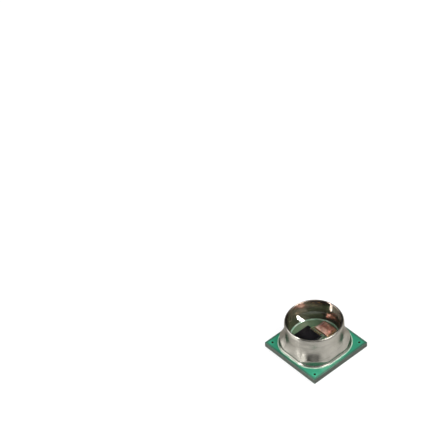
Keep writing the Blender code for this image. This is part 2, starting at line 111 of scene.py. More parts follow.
class PortSettings(bpy.types.PropertyGroup):
    wall: length("Wall", "Thickness of the port's wall", 0.176)
    rim_round: length("Rim round", "Radius of the rim's inner edge", 0.05)
    rim_ease: length("Rim ease", "How far in the rim's outer edge is rounded", 0.11)
    rim_drop: length("Rim drop", "How far down the rim's outer edge is rounded", 0.3)
    shoulder_step: length("Shoulder step", "How far the skirt stands out from the tube", 0.142)
    shoulder_rise: length("Shoulder rise", "Height of the shoulder's slope", 1.02)
    skirt_at_side: length("Skirt at side", "Upright stretch below the shoulder at the sides", 0.02)
    skirt_at_corner: length("Skirt at corner", "Upright stretch below the shoulder at the corners", 0.3)
    corner_radius: length("Corner radius", "Radius of the skirt's corners in plan", 1.63)
    foot_flare: length("Foot flare", "How far the foot turns out", 0.08)
    flare_turn: angle("Flare turn", "Angle through which the foot turns out", 60.0)
    foot_round: length("Foot round", "Rounding of the foot's lower edge", 0.02)
    ripple: length("Ripple", "Unevenness that drawing leaves in the skirt", 0.004)
    steel: colour("Steel", "the bare steel", (0.34, 0.325, 0.285))
    bore: colour("Bore", "the steel inside the port", (0.4, 0.325, 0.275))
    steel_edge: colour("Steel at the edges", "the steel seen at a shallow angle", (0.42, 0.4, 0.37))
    steel_roughness: share("Steel roughness", "Roughness of the drawn steel", 0.24)
    bore_roughness: share("Bore roughness", "Roughness of the steel inside the port", 0.13)
    steel_grain: share("Steel grain", "How much the drawing lines stretch the highlights", 0.55)


class AdhesiveSettings(bpy.types.PropertyGroup):
    outer_toe: length("Outer toe", "Width of the bead outside the foot", 0.085)
    outer_climb: length("Outer climb", "Height of the bead on the foot", 0.045)
    inner_toe: length("Inner toe", "Width of the bead inside the bore", 0.08)
    inner_climb: length("Inner climb", "Height of the bead in the bore", 0.1)
    film: length("Film", "Thickness of the bead below the foot", 0.02)
    unevenness: share("Unevenness", "How much the toe's width varies", 0.3)
    tint: colour("Adhesive", "the adhesive", (0.5, 0.6, 0.5))


class BoardSettings(bpy.types.PropertyGroup):
    mask: colour("Solder mask", "the mask over copper", (0.036, 0.28, 0.165))
    mask_bare: colour("Mask on laminate", "the mask where no copper lies below", (0.05, 0.14, 0.095))
    mask_inside: colour("Mask in the port", "the mask below the gel", (0.105, 0.175, 0.1))
    copper_pullback: length("Copper pullback", "Distance from the board's edge to the copper", 0.13)
    via_ring: length("Via ring", "Radius of the copper ring round a plated hole", 0.2)
    resin: colour("Resin", "the laminate's resin", (0.042, 0.056, 0.04))
    glass: colour("Glass", "the laminate's glass", (0.1, 0.11, 0.088))
    gold: colour("Gold", "the gold plating", (0.83, 0.6, 0.26))


class DieSettings(bpy.types.PropertyGroup):
    silicon: colour("Silicon", "the pressure die", (0.003, 0.0025, 0.0035))
    wafer: colour("Constraint wafer", "the wafer below the pressure die", (0.03, 0.03, 0.035))
    circuit: colour("Circuit", "the conditioning die's circuit", (0.72, 0.31, 0.25))
    circuit_dark: colour("Circuit, dark", "the darker blocks", (0.2, 0.1, 0.07))
    attach: colour("Die attach", "the films below the dies", (0.34, 0.33, 0.29))
    pad: length("Pad", "Side of a bond pad", 0.075)
    pad_inset: length("Pad inset", "Distance from a die's edge to the middle of its pads", 0.09)
    aluminium: colour("Aluminium", "the bond pads", (0.72, 0.71, 0.7))


class WireSettings(bpy.types.PropertyGroup):
    radius: length("Radius", "Radius of a bond wire", 0.0165)
    ball: length("Ball", "Radius of a wire's ball", 0.036)
    ball_height: length("Ball height", "Height of a wire's ball", 0.022)
    sense_loop: length("Loop between dies", "Height of the loops between the dies", 0.09)
    lead_loop: length("Loop to board", "Height of the loops to the board", 0.12)
    lead_pitch: length("Lead pad pitch", "Distance between the pads of the lead wires", 0.13)


class GelSettings(bpy.types.PropertyGroup):
    rise: length("Rise", "How far the gel climbs the wall", 0.3)
    reach: length("Reach", "How fast the climb dies away from the wall", 0.6)
    refraction: amount("Refraction", "Refractive index of the silicone gel", 1.41)
    tint: colour("Gel", "the gel", (0.96, 0.975, 0.955))
    skin: share("Skin", "Weight of the glossy skin on the gel", 1.0)
    skin_refraction: amount("Skin refraction", "Refractive index of the glossy skin", 1.65)


class StudioSettings(bpy.types.PropertyGroup):
    camera_azimuth: angle("Camera azimuth", "Turn of the camera about the sensor", 52.386)
    camera_elevation: angle("Camera elevation", "Height of the camera's axis", 41.444)
    camera_roll: angle("Camera roll", "Roll of the camera", -5.393)
    camera_distance: length("Camera distance", "Distance of the camera along its axis", 114.634)
    focal_pixels: amount("Focal length", "Focal length in pixels of the picture", 1655.2)
    off_centre_right: amount("Off centre right", "Pixels from the picture's middle to the board's", 93.807)
    off_centre_down: amount("Off centre down", "Pixels from the picture's middle to the board's", 128.768)
    lamp_distance: length("Lamp distance", "Distance of the lamps", 120.0)
    key_power: amount("Key power", "Power of the strip light at the left, in watts", 0.064)
    top_power: amount("Top power", "Power of the narrow light above, in watts", 0.055)
    side_power: amount("Side power", "Power of the softbox at the right, in watts", 0.065)
    studio: amount("Studio", "Brightness of the studio's walls", 0.03)
    left_panel: amount("Left panel", "Brightness of the broad panel at the left", 2.5)
    right_panel: amount("Right panel", "Brightness of the broad panel at the right", 0.8)
    front_panel: amount("Front panel", "Brightness of the faint panel at the front", 0.38)
    ceiling: amount("Ceiling", "Brightness of the soft light overhead", 0.85)
    floor: colour("Floor", "the floor", (0.45, 0.45, 0.45))
    floor_glow: share("Floor glow", "Light that lifts the floor to the backdrop's white", 0.6)


# Node trees

class Wiring:
    """Adds nodes to one tree and joins them up."""

    def __init__(self, tree):
        self.tree = tree

    def feed(self, value, socket):
        if isinstance(value, bpy.types.NodeSocket):
            self.tree.links.new(value, socket)
        else:
            socket.default_value = value

    def add(self, kind, inputs=None, **settings):
        node = self.tree.nodes.new(kind)
        for name, value in settings.items():
            setattr(node, name, value)
        for socket, value in (inputs or {}).items():
            self.feed(value, node.inputs[socket])
        return node

    def math(self, operation, first, second=0.0):
        return self.add("ShaderNodeMath", {0: first, 1: second}, operation=operation).outputs["Value"]

    def plus(self, first, second):
        return self.math("ADD", first, second)

    def times(self, first, second):
        return self.math("MULTIPLY", first, second)

    def sine(self, value, rate):
        return self.math("SINE", self.times(value, rate))

    def weigh(self, *parts):
        """The sum of values, each times its weight."""
        total = self.times(*parts[0])
        for value, weight in parts[1:]:
            total = self.plus(total, self.times(value, weight))
        return total

    def vector(self, operation, first, second, output="Vector"):
        return self.add("ShaderNodeVectorMath", {0: first, 1: second}, operation=operation).outputs[output]

    def span(self, value, low, high, to_low=0.0, to_high=1.0):
        """A smooth step as the value goes from low to high."""
        node = self.add("ShaderNodeMapRange", {"Value": value, "From Min": low, "From Max": high,
                                               "To Min": to_low, "To Max": to_high},
                        interpolation_type="SMOOTHSTEP")
        return node.outputs["Result"]

    def disc(self, place, centre, full, edge, value=1.0):
        """The value inside a circle, which fades from its full radius to nothing at its edge."""
        return self.span(self.vector("DISTANCE", place, centre, "Value"), full, edge, value, 0.0)

    def blend(self, factor, under, over):
        """A mix node's colour sockets share their names with others, so they go by number."""
        return self.add("ShaderNodeMix", {0: factor, 6: under, 7: over}, data_type="RGBA").outputs[2]

    def cover(self, under, mask, weight, over):
        """Lays a colour over another where a mask shows, as strongly as the weight says."""
        return self.blend(self.times(mask, weight), under, over)

    def noise(self, place, detail, roughness=0.5, scale=1.0):
        return self.add("ShaderNodeTexNoise", {"Vector": place, "Scale": scale, "Detail": detail,
                                               "Roughness": roughness}).outputs["Fac"]

    def millimetres(self, centre=(0.0, 0.0, 0.0)):
        """The point on the object in millimetres from a centre given in metres."""
        here = self.add("ShaderNodeTexCoord").outputs["Object"]
        return self.vector("MULTIPLY", self.vector("SUBTRACT", here, tuple(centre)), (TO_MM, TO_MM, TO_MM))

    def split(self, vector):
        node = self.add("ShaderNodeSeparateXYZ", {"Vector": vector})
        return [node.outputs[axis] for axis in "XYZ"]

    def join(self, x, y, z=0.0):
        return self.add("ShaderNodeCombineXYZ", {"X": x, "Y": y, "Z": z}).outputs["Vector"]

    def group(self, name, inputs=None):
        return self.add("ShaderNodeGroup", inputs, node_tree=bpy.data.node_groups[name]).outputs

    def marks(self, size, low, high):
        """Where marks of a size in millimetres lie, between two levels of the cloud they come from."""
        return self.group("handling_marks", {"Size": size, "Low": low, "High": high})["Mask"]

    def grain(self, *per_mm, detail=3.0):
        """Grain as fine as one number says, or as three say along the axes."""
        along_axes = per_mm if len(per_mm) == 3 else per_mm * 3
        return self.group("fine_grain", {"Grains per mm": along_axes, "Detail": detail})

    def patch(self, x, y, centre, half):
        """1 inside a rectangle in the plane, in millimetres."""
        sides = []
        for value, middle, reach in zip((x, y), centre, half):
            off = self.math("ABSOLUTE", self.math("SUBTRACT", value, middle))
            sides.append(self.span(off, reach - PATCH_SOFT, reach + PATCH_SOFT, 1.0, 0.0))
        return self.times(*sides)


PATCH_SOFT = 0.004
BAND_TURNS = 1.7
BAND_LEVELS = (0.52, 0.66)
SPECKLE_LEVELS = (0.58, 0.7)
ROW_LEVELS = (-0.4, 0.7)
METAL_LEVELS = (0.42, 0.47)


def new_group(name, inputs, outputs):
    tree = bpy.data.node_groups.new(name, "ShaderNodeTree")
    for label, value in inputs.items():
        kind = "NodeSocketVector" if isinstance(value, tuple) else "NodeSocketFloat"
        tree.interface.new_socket(label, in_out="INPUT", socket_type=kind).default_value = value
    for label in outputs:
        tree.interface.new_socket(label, in_out="OUTPUT", socket_type="NodeSocketFloat")
    wiring = Wiring(tree)
    return wiring, wiring.add("NodeGroupInput").outputs, wiring.add("NodeGroupOutput").inputs


def build_handling_marks():
    """Cloudy marks that dull and darken a surface here and there."""
    wiring, given, made = new_group("handling_marks", {"Size": 0.8, "Low": 0.35, "High": 0.65}, ["Mask"])
    scale = wiring.math("DIVIDE", 1.0, given["Size"])
    cloud = wiring.noise(wiring.millimetres(), 4.0, 0.55, scale)
    wiring.feed(wiring.span(cloud, given["Low"], given["High"]), made["Mask"])


def build_fine_grain():
    """Fine grain of a size given along each axis."""
    wiring, given, made = new_group("fine_grain", {"Grains per mm": (30.0, 30.0, 30.0), "Detail": 3.0},
                                    ["Height", "Speckle"])
    here = wiring.vector("MULTIPLY", wiring.millimetres(), given["Grains per mm"])
    grain = wiring.noise(here, given["Detail"], 0.6)
    wiring.feed(grain, made["Height"])
    wiring.feed(wiring.span(grain, *SPECKLE_LEVELS), made["Speckle"])


def build_drawn_lines():
    """Lines that run round the port, and the broader bands among them."""
    wiring, given, made = new_group("drawn_lines", {"Lines per mm": 22.0, "Bands per mm": 4.0},
                                    ["Height", "Band", "Inside"])
    x, y, z = wiring.split(wiring.millimetres((PORT_CENTRE.x, PORT_CENTRE.y, RING_LOW.z)))
    radius = wiring.vector("DISTANCE", wiring.join(x, y), (0.0, 0.0, 0.0), "Value")
    cosine, sine = (wiring.math("DIVIDE", value, radius) for value in (x, y))
    fine = wiring.join(cosine, sine, wiring.times(z, given["Lines per mm"]))
    broad = wiring.join(wiring.times(cosine, BAND_TURNS), wiring.times(sine, BAND_TURNS),
                        wiring.times(z, given["Bands per mm"]))
    bore = BORE_RADIUS * TO_MM
    wiring.feed(wiring.noise(fine, 3.0, 0.6), made["Height"])
    wiring.feed(wiring.span(wiring.noise(broad, 2.0), *BAND_LEVELS), made["Band"])
    wiring.feed(wiring.span(radius, bore + 0.01, bore + 0.05, 1.0, 0.0), made["Inside"])


def build_circuit():
    """Blocks and rows of an integrated circuit, seen as a change of tint."""
    wiring, given, made = new_group("circuit", {"Blocks per mm": 5.0, "Rows per mm": 42.0},
                                    ["Block", "Row", "Metal"])
    x, y, _ = wiring.split(wiring.millimetres(ASIC_LOW))
    cells = wiring.add("ShaderNodeTexVoronoi", {"Vector": wiring.join(x, y), "Scale": given["Blocks per mm"],
                                                "Randomness": 0.8}, distance="CHEBYCHEV").outputs
    tone, turn, _ = wiring.split(cells["Color"])
    along = wiring.math("GREATER_THAN", turn, 0.5)
    rows = wiring.weigh((wiring.sine(x, given["Rows per mm"]), along),
                        (wiring.sine(y, given["Rows per mm"]), wiring.math("SUBTRACT", 1.0, along)))
    wiring.feed(tone, made["Block"])
    wiring.feed(wiring.span(rows, *ROW_LEVELS), made["Row"])
    wiring.feed(wiring.span(cells["Distance"], *METAL_LEVELS), made["Metal"])


class Finish(Wiring):
    """A material with its Principled shader, and the wiring of its tree."""

    def __init__(self, name, **values):
        self.material = bpy.data.materials.new(name)
        self.material.use_nodes = True
        super().__init__(self.material.node_tree)
        self.shader = self.tree.nodes["Principled BSDF"].inputs
        for label, value in values.items():
            self.shader[label.replace("_", " ")].default_value = value

    def between(self, mask, low, high):
        return self.span(mask, 0.0, 1.0, low, high)

    def surface(self, tone, roughness, relief=None, depth=0.0, strength=1.0):
        """Joins up the shader, with relief to a depth in millimetres, and returns the material."""
        self.feed(tone, self.shader["Base Color"])
        self.feed(roughness, self.shader["Roughness"])
        if depth:
            bump = self.add("ShaderNodeBump", {"Height": relief, "Distance": depth * MM,
                                               "Strength": strength})
            self.feed(bump.outputs["Normal"], self.shader["Normal"])
        return self.material


def solid(values, factor=1.0):
    """A colour with full opacity, made lighter or darker by a factor."""
    return (*(min(1.0, value * factor) for value in values), 1.0)


def grained_finish(name, tone, other, per_mm, roughness, depth=0.0, metallic=0.0, mask="Height"):
    """Two tones that differ from grain to grain."""
    finish = Finish(name, Metallic=metallic)
    grain = finish.grain(*per_mm)
    return finish.surface(finish.blend(grain[mask], tone, other),
                          finish.span(grain["Height"], 0.3, 0.7, *roughness), grain["Height"], depth)


def finish_node(node, material):
    """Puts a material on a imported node, in its own slots."""
    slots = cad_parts[node].material_slots
    if not slots:
        raise RuntimeError(f"{node} has no material slot")
    for slot in slots:
        slot.material = material


# Meshes

SHARP = math.radians(35.0)


def add_object(name, data):
    made = bpy.data.objects.new(name, data)
    bpy.context.scene.collection.objects.link(made)
    return made


def add_piece(name, data, material, replaced=()):
    piece = add_object(name, data)
    data.materials.append(material)
    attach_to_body(piece, "root")
    if replaced:
        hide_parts(*replaced)


def new_mesh(name, vertices, faces):
    mesh = bpy.data.meshes.new(name)
    mesh.from_pydata(vertices, [], faces)
    mesh.shade_smooth()
    mesh.set_sharp_from_angle(angle=SHARP)
    return mesh


def turned_mesh(name, rows, steps, ends=()):
    """A piece turned about the port's axis. Each row is a function from an angle to (radius, height).

    Without ends the last row joins the first, which makes a ring. Otherwise the ends are the heights
    at which the axis meets the piece, below the first row and above the last.
    """
    centre, vertices = PORT_CENTRE, []
    for row in rows:
        for step in range(steps):
            turn = math.tau * step / steps
            radius, height = row(turn)
            vertices.append((centre.x + radius * math.cos(turn), centre.y + radius * math.sin(turn), height))
    steps_on = [(step, (step + 1) % steps) for step in range(steps)]
    faces = []
    for row in range(len(rows) - 1 if ends else len(rows)):
        low, high = row * steps, (row + 1) % len(rows) * steps
        faces += [(low + here, low + after, high + after, high + here) for here, after in steps_on]
    if ends:
        bottom, top, last = len(vertices), len(vertices) + 1, (len(rows) - 1) * steps
        vertices += [(centre.x, centre.y, height) for height in ends]
        faces += [(bottom, after, here) for here, after in steps_on]
        faces += [(top, last + here, last + after) for here, after in steps_on]
    return new_mesh(name, vertices, faces)


def level_row(radius, height):
    return lambda turn: (radius, height)


def ease(value):
    value = min(max(value, 0.0), 1.0)
    return value * value * (3.0 - 2.0 * value)


def waves(turn, parts):
    """A sum of waves round the port, each given by its weight, its count and where it starts."""
    return sum(weight * math.sin(count * turn + start) for weight, count, start in parts)


# Port

PORT_STEPS = 288
FOOT_BEND = 0.3
FLARE_ROWS = 8
SHOULDER_ROWS = 28
SHOULDER_CROWDING = 1.3
SHOULDER_BEND = 0.05
SHOULDER_FADE = 2.0
CORNER_STARTS = 0.55
RIPPLE_FADE = 0.9 * MM
ARC_STEPS = 9
BORE_ROWS = 8
STEEL_STAIN = (0.2, 0.16, 0.12)


class PortShape:
    """The port's rows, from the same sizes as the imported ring."""

    def __init__(self, sizes):
        self.sizes = sizes
        self.tube = BORE_RADIUS + sizes.wall
        self.skirt_half = self.tube + sizes.shoulder_step
        self.flare_radius = sizes.foot_flare / (1.0 - math.cos(sizes.flare_turn))
        self.flare_top = RING_LOW.z + sizes.foot_round + self.flare_radius * math.sin(sizes.flare_turn)
        self.corner_reach = self.skirt(math.pi / 4) - self.skirt_half

    def skirt(self, turn):
        """Distance from the middle to the edge of a rounded square."""
        half, corner = self.skirt_half, self.sizes.corner_radius
        folded = abs((turn + math.pi / 4) % (math.pi / 2) - math.pi / 4)
        inner = half - corner
        if math.tan(folded) * half <= inner:
            return half / math.cos(folded)
        across = math.cos(folded) + math.sin(folded)
        along = math.cos(folded) - math.sin(folded)
        return inner * across + math.sqrt(corner ** 2 - (inner * along) ** 2)

    def ripple(self, turn, height):
        """Slow unevenness of the drawn skirt, which dies away at the tube."""
        fade = 1.0 - ease((height - RING_LOW.z) / RIPPLE_FADE)
        return self.sizes.ripple * fade * waves(turn, ((0.6, 5.0, 0.7), (0.4, 11.0, 2.1 + height / MM)))

    def foot(self, turn, outset):
        return self.skirt(turn) + self.sizes.foot_flare + outset

    def foot_row(self, outset, height):
        return lambda turn: (self.foot(turn, outset), height)

    def flare_row(self, part):
        """A row on the foot's hollow arc, from its edge up to the skirt."""
        turned = self.sizes.flare_turn * (1.0 - part)
        out = self.flare_radius * (1.0 - math.cos(turned))
        height = self.flare_top - self.flare_radius * math.sin(turned)
        return lambda turn: (self.skirt(turn) + out + self.ripple(turn, height) * part, height)

    def shoulder_row(self, part):
        """A row on the slope, which leaves the skirt at a tight bend and runs out on the tube."""
        sizes = self.sizes
        bent = part + SHOULDER_BEND * (math.exp(-part / SHOULDER_BEND) - 1.0)
        drawn_in = 1.0 - (1.0 - bent / (1.0 - SHOULDER_BEND)) ** SHOULDER_FADE if part < 1.0 else 1.0

        def row(turn):
            skirt = self.skirt(turn)
            corner = (skirt - self.skirt_half) / self.corner_reach
            near_corner = ease((corner - CORNER_STARTS) / (1.0 - CORNER_STARTS))
            upright = sizes.skirt_at_side + (sizes.skirt_at_corner - sizes.skirt_at_side) * near_corner
            height = self.flare_top + upright + sizes.shoulder_rise * part
            radius = skirt - (skirt - self.tube) * drawn_in
            return radius + self.ripple(turn, height) * (1.0 - part), height
        return row

    def section(self):
        sizes = self.sizes
        rows = [self.foot_row(-sizes.foot_round * inward, RING_LOW.z + sizes.foot_round * up)
                for inward, up in ((1.0, 0.0), (FOOT_BEND, FOOT_BEND), (0.0, 1.0))]
        rows += [self.flare_row((step + 1) / FLARE_ROWS) for step in range(FLARE_ROWS)]
        rows += [self.shoulder_row((step / (SHOULDER_ROWS - 1)) ** SHOULDER_CROWDING)
                 for step in range(SHOULDER_ROWS)]
        for centre, first, across, down in (
                (self.tube - sizes.rim_ease, 0.0, sizes.rim_ease, sizes.rim_drop),
                (BORE_RADIUS + sizes.rim_round, math.pi / 2, sizes.rim_round, sizes.rim_round)):
            for step in range(ARC_STEPS + 1):
                bend = first + math.pi / 2 * step / ARC_STEPS
                rows.append(level_row(centre + across * math.cos(bend),
                                      RING_HIGH.z - down * (1.0 - math.sin(bend))))
        top = RING_HIGH.z - sizes.rim_round
        rows += [level_row(BORE_RADIUS, top + (RING_LOW.z - top) * step / BORE_ROWS)
                 for step in range(1, BORE_ROWS + 1)]
        return rows


def steel_finish(settings):
    finish = Finish("drawn_steel_finish", Metallic=1.0, Anisotropic=settings.steel_grain,
                    Anisotropic_Rotation=0.25, Specular_Tint=solid(settings.steel_edge))
    lines = finish.group("drawn_lines")
    marks = finish.marks(size=0.9, low=0.4, high=0.62)
    specks = finish.grain(9.0)["Speckle"]
    base = finish.cover(solid(settings.steel), marks, 0.5, solid(settings.steel, 0.82))
    base = finish.cover(base, lines["Band"], 0.35, solid(settings.steel, 0.55))
    base = finish.blend(lines["Inside"], base, solid(settings.bore))
    base = finish.cover(base, specks, 0.12, solid(STEEL_STAIN))
    rough = finish.plus(finish.between(lines["Inside"], settings.steel_roughness, settings.bore_roughness),
                        finish.times(marks, 0.03))
    tangent = finish.add("ShaderNodeTangent", direction_type="RADIAL", axis="Z")
    finish.feed(tangent.outputs["Tangent"], finish.shader["Tangent"])
    return finish.surface(base, rough, lines["Height"], depth=0.001, strength=0.5)


class SENSOR_OT_build_port(bpy.types.Operator):
    """Builds the drawn steel port with its rounded rim, shoulder and flared foot"""
    bl_idname = "pressure_sensor.build_port"
    bl_label = "Build port"

    def execute(self, context):
        settings = context.scene.sensor_port
        mesh = turned_mesh("port_shell", PortShape(settings).section(), PORT_STEPS)
        add_piece("port_shell", mesh, steel_finish(settings), ["port_ring"])
        return {"FINISHED"}


# Adhesive

BEAD_STEPS = 360
FILLET_ROWS = 6
TOE_WAVES = ((1.0, 3.0, 0.4), (0.7, 7.0, 2.0), (0.5, 13.0, 1.1), (0.35, 29.0, 0.0))
TOE_SHARPNESS = 1.7
CLIMB_SHARPNESS = 1.5
INNER_TURN = 1.0
THIN_ADHESIVE = (0.45, 0.75, 0.6)


def bead_section(adhesive, shape):
    bore = BORE_RADIUS - SEAT_GAP
    low = BEAD_LOW.z

    def toe_width(turn):
        """How wide the bead is at an angle, as a share of its plain width."""
        wave = waves(turn, TOE_WAVES) / sum(weight for weight, _, _ in TOE_WAVES)
        return 1.0 - adhesive.unevenness * 0.5 * (1.0 - wave)

    def outer_row(part):
        """From the toe on the board up to the foot, along a hollow fillet."""
        def row(turn):
            width = toe_width(turn)
            out = SEAT_GAP + (adhesive.outer_toe - SEAT_GAP) * width * (1.0 - part) ** TOE_SHARPNESS
            return shape.foot(turn, out), low + adhesive.outer_climb * width * part ** CLIMB_SHARPNESS
        return row

    def inner_row(part):
        def row(turn):
            width = toe_width(turn + INNER_TURN)
            return (bore - adhesive.inner_toe * width * part ** TOE_SHARPNESS,
                    low + adhesive.inner_climb * width * (1.0 - part) ** CLIMB_SHARPNESS)
        return row

    parts = [step / FILLET_ROWS for step in range(FILLET_ROWS + 1)]
    below_foot = [shape.foot_row(SEAT_GAP, low + adhesive.film), level_row(bore, low + adhesive.film)]
    return [*map(outer_row, parts), *below_foot, *map(inner_row, parts)]


def adhesive_finish(settings):
    finish = Finish("adhesive_finish", IOR=1.5)
    marks = finish.marks(size=0.35, low=0.3, high=0.7)
    thin = solid([value * part for value, part in zip(settings.tint, THIN_ADHESIVE)])
    return finish.surface(finish.blend(marks, thin, solid(settings.tint)), finish.between(marks, 0.12, 0.3),
                          finish.grain(14.0)["Height"], depth=0.004, strength=0.5)


class SENSOR_OT_build_adhesive(bpy.types.Operator):
    """Lays the uneven bead of adhesive round the port's foot"""
    bl_idname = "pressure_sensor.build_adhesive"
    bl_label = "Build adhesive"

    def execute(self, context):
        settings = context.scene.sensor_adhesive
        rows = bead_section(settings, PortShape(context.scene.sensor_port))
        add_piece("adhesive_bead", turned_mesh("adhesive_bead", rows, BEAD_STEPS), adhesive_finish(settings),
                  ["ring_adhesive"])
        return {"FINISHED"}


# Board

WEAVE_RATES = (17.0, 15.0)
SAWN_GLASS = (0.17, 0.18, 0.15)
LAMINATE_GRIME = (0.035, 0.05, 0.035)


def mask_finish(settings):
    finish = Finish("solder_mask_finish", IOR=1.52)
    here = finish.millimetres()
    x, y, _ = finish.split(here)
    across, along = finish.math("ABSOLUTE", x), finish.math("ABSOLUTE", y)
    edge = finish.math("SUBTRACT", BOARD_HALF * TO_MM, finish.math("MAXIMUM", across, along))
    pull = settings.copper_pullback * TO_MM
    waver = finish.times(finish.noise(here, 2.0, scale=6.0), 0.03)
    copper = finish.span(finish.plus(edge, waver), pull - 0.02, pull + 0.06)
    via = middle_of(VIAS[0]) * TO_MM
    ring, bore = settings.via_ring * TO_MM, BORE_RADIUS * TO_MM
    raised = finish.disc(finish.join(across, along), (abs(via.x), abs(via.y), 0.0), ring - 0.02, ring + 0.02)
    axis = (PORT_CENTRE.x * TO_MM, PORT_CENTRE.y * TO_MM, 0.0)
    inside = finish.disc(finish.join(x, y), axis, bore, bore + 0.05)
    marks = finish.marks(size=0.5, low=0.35, high=0.7)
    grain = finish.grain(16.0)["Height"]
    weave = finish.times(*map(finish.sine, (x, y), WEAVE_RATES))
    base = finish.blend(copper, solid(settings.mask_bare), solid(settings.mask))
    base = finish.cover(base, marks, 0.25, solid(settings.mask, 0.75))
    base = finish.cover(base, raised, 0.3, solid(settings.mask, 1.5))
    base = finish.blend(inside, base, solid(settings.mask_inside))
    relief = finish.weigh((weave, 0.08), (copper, 0.4), (raised, 0.5), (grain, 0.12))
    return finish.surface(base, finish.between(marks, 0.16, 0.26), relief, depth=0.008)


def laminate_finish(settings):
    finish = Finish("laminate_finish")
    x, y, z = finish.split(finish.millimetres(CORE_LOW))
    round_edge = finish.plus(x, y)
    layers, saw = (finish.noise(finish.join(finish.times(round_edge, along), 0.0, finish.times(z, up)),
                                detail, roughness)
                   for along, up, detail, roughness in ((2.2, 26.0, 3.0, 0.6), (30.0, 2.5, 4.0, 0.65)))
    marks = finish.marks(size=0.6, low=0.3, high=0.7)
    base = finish.blend(finish.span(layers, 0.42, 0.62), solid(settings.resin), solid(settings.glass))
    base = finish.cover(base, finish.span(saw, 0.5, 0.75), 0.5, solid(SAWN_GLASS))
    base = finish.cover(base, marks, 0.4, solid(LAMINATE_GRIME))
    return finish.surface(base, finish.span(saw, 0.3, 0.7, 0.5, 0.8), finish.plus(layers, saw), depth=0.006)


def gold_finish(settings):
    finish = Finish("gold_finish", Metallic=1.0)
    marks = finish.marks(size=0.25, low=0.35, high=0.7)
    base = finish.blend(marks, solid(settings.gold), solid(settings.gold, 0.8))
    return finish.surface(base, finish.between(marks, 0.28, 0.42),
                          finish.grain(45.0)["Height"], depth=0.0015)


def barrel_finish(settings):
    """Plating in a drilled hole, dull, its gold darkened to a fifth and a tenth as painted shade of the hole.
    """
    # Painted shade: the gold is darkened to 0.22 and 0.1 of itself, for the dark of the hole.
    return grained_finish("barrel_finish", solid(settings.gold, 0.22), solid(settings.gold, 0.1),
                          (30.0, 30.0, 12.0), (0.45, 0.65), depth=0.003, metallic=1.0, mask="Speckle")


class SENSOR_OT_dress_board(bpy.types.Operator):
    """Puts the finishes on the board, its mask, its plated holes and its gold lands"""
    bl_idname = "pressure_sensor.dress_board"
    bl_label = "Dress board"

    def execute(self, context):
        settings = context.scene.sensor_board
        for nodes, finish in ((["substrate_core"], laminate_finish), (VIAS, barrel_finish),
                              (["solder_mask_top", "solder_mask_bottom"], mask_finish),
                              (LANDS + FINGERS, gold_finish)):
            material = finish(settings)
            for node in nodes:
                finish_node(node, material)
        return {"FINISHED"}


# Dies

PAD_THICKNESS = 0.002 * MM
PAD_LIFT = 0.0004 * MM
PAD_CORNER = 0.15
DIAPHRAGM_HALF = 0.31
DIAPHRAGM_SOFT = 0.01
RESISTOR_HALF = (0.05, 0.012)
LINE_HALF = 0.008
GUARD_EDGES = (-0.045, -0.04, -0.03, -0.025)
DIE_METAL = (0.035, 0.035, 0.045)
CIRCUIT_METAL = (0.62, 0.4, 0.3)
CIRCUIT_GRIME = (0.2, 0.12, 0.09)


def pad_pairs(inset):
    """Middles of the pads at both ends of each wire between the dies."""
    pairs = []
    for node in SENSE_WIRES:
        x = middle_of(node).x
        pairs.append((Vector((x, SENSE_HIGH.y - inset, SENSE_HIGH.z)),
                      Vector((x, ASIC_LOW.y + inset, ASIC_HIGH.z))))
    return pairs


def pad_row(x, pitch):
    """Middles of a row of pads on the conditioning die, one for each lead wire."""
    middle = middle_of("asic_die").y
    return [Vector((x, middle + (index - (len(LEAD_WIRES) - 1) / 2) * pitch, ASIC_HIGH.z))
            for index in range(len(LEAD_WIRES))]


def pads_mesh(settings, pitch):
    inset = settings.pad_inset
    places = [place for pair in pad_pairs(inset) for place in pair]
    places += pad_row(ASIC_HIGH.x - inset, pitch) + pad_row(ASIC_LOW.x + inset, pitch)
    cage = bmesh.new()
    size = Matrix.Diagonal((settings.pad, settings.pad, PAD_THICKNESS, 1.0))
    for place in places:
        middle = place + UP * (PAD_LIFT + PAD_THICKNESS / 2)
        bmesh.ops.create_cube(cage, size=1.0, matrix=Matrix.Translation(middle) @ size)
    upright = [edge for edge in cage.edges
               if abs(edge.verts[0].co.z - edge.verts[1].co.z) > PAD_THICKNESS / 2]
    bmesh.ops.bevel(cage, geom=upright, offset=settings.pad * PAD_CORNER, segments=2, affect="EDGES")
    mesh = bpy.data.meshes.new("die_pads")
    cage.to_mesh(mesh)
    cage.free()
    return mesh


def sense_finish(settings):
    """Polished silicon with the bridge of resistors round the diaphragm and its metal lines."""
    finish = Finish("sense_die_finish", IOR=1.15)
    middle = middle_of("sense_die")
    x, y, _ = finish.split(finish.millimetres((middle.x, middle.y, SENSE_LOW.z)))
    half = (SENSE_HIGH.x - SENSE_LOW.x) / 2 * TO_MM
    across, along = finish.math("ABSOLUTE", x), finish.math("ABSOLUTE", y)
    reach = finish.math("MAXIMUM", across, along)
    diaphragm = finish.span(reach, DIAPHRAGM_HALF - DIAPHRAGM_SOFT, DIAPHRAGM_HALF + DIAPHRAGM_SOFT, 1.0, 0.0)
    starts, full, fades, ends = (half + edge for edge in GUARD_EDGES)
    metal = finish.times(finish.span(reach, starts, full), finish.span(reach, fades, ends, 1.0, 0.0))
    for up, centre, size in ((along, (0.0, DIAPHRAGM_HALF), RESISTOR_HALF),
                             (along, (DIAPHRAGM_HALF, 0.0), RESISTOR_HALF[::-1]),
                             (y, (0.12, 0.46), (LINE_HALF, 0.15)), (y, (0.42, 0.28), (LINE_HALF, 0.28))):
        metal = finish.math("MAXIMUM", metal, finish.patch(across, up, centre, size))
    marks = finish.marks(size=0.4, low=0.35, high=0.75)
    base = finish.blend(diaphragm, solid(settings.silicon), solid(settings.silicon, 1.8))
    base = finish.cover(base, metal, 0.5, solid(DIE_METAL))
    return finish.surface(base, finish.between(marks, 0.1, 0.2), metal, depth=0.001)


